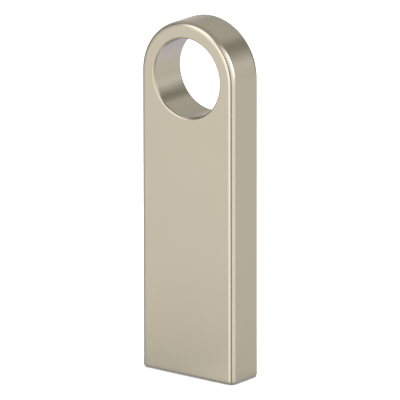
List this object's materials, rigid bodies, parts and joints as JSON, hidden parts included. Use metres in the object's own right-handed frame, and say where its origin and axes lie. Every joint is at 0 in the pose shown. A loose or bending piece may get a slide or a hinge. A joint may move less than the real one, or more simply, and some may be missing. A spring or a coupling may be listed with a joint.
{
  "type": "usb flash drive",
  "caption": "Slim capless flash drive: a satin metal bar whose lower end is a USB-A plug and whose rounded upper end has a round key-ring eye.",
  "frame": {"origin": "middle of the plug's mouth, at the lowest point of the upright drive", "axes": "+Z along the bar from the plug's mouth to the key-ring eye, +X across the width, +Y through the thickness; the plain front face looks towards -Y and the hollow of the plug lies on the +Y side"},
  "size_m": [0.012, 0.0046, 0.0382],
  "materials": {
    "satin_nickel": "satin nickel plating on die-cast zinc",
    "black_plastic": "fine moulded texture",
    "solder_mask": "semi-gloss solder mask over glass-fibre laminate",
    "contact_gold": "hard gold plating",
    "chip_moulding": "matt moulding compound",
    "solder_tin": "bright tin",
    "crystal_can": "plated steel can",
    "capacitor_ceramic": "fired ceramic",
    "resistor_ceramic": "glazed black resistor body",
    "ferrite": "dark sintered ferrite",
    "spring_bronze": "tempered bronze strip",
    "amber_film": "amber insulating film",
    "grey_foam": "closed-cell foam"
  },
  "bodies": {
    "root": {"housing": "satin_nickel", "board_tray": "black_plastic", "component_cover": "black_plastic", "circuit_board": "solder_mask", "contact_power": "contact_gold", "contact_data_minus": "contact_gold", "contact_data_plus": "contact_gold", "contact_ground": "contact_gold", "controller_chip": "chip_moulding", "controller_lands": "solder_tin", "flash_chip": "chip_moulding", "flash_solder_balls": "solder_tin", "clock_crystal": "crystal_can", "crystal_capacitors": "capacitor_ceramic", "bypass_capacitors": "capacitor_ceramic", "bulk_capacitor": "capacitor_ceramic", "data_resistors": "resistor_ceramic", "pull_up_resistor": "resistor_ceramic", "ferrite_bead": "ferrite", "chip_end_caps": "solder_tin", "surge_suppressor": "chip_moulding", "voltage_regulator": "chip_moulding", "regulator_legs": "solder_tin", "ground_springs": "spring_bronze", "insulating_film": "amber_film", "foam_pad": "grey_foam"}
  },
  "joints": []
}
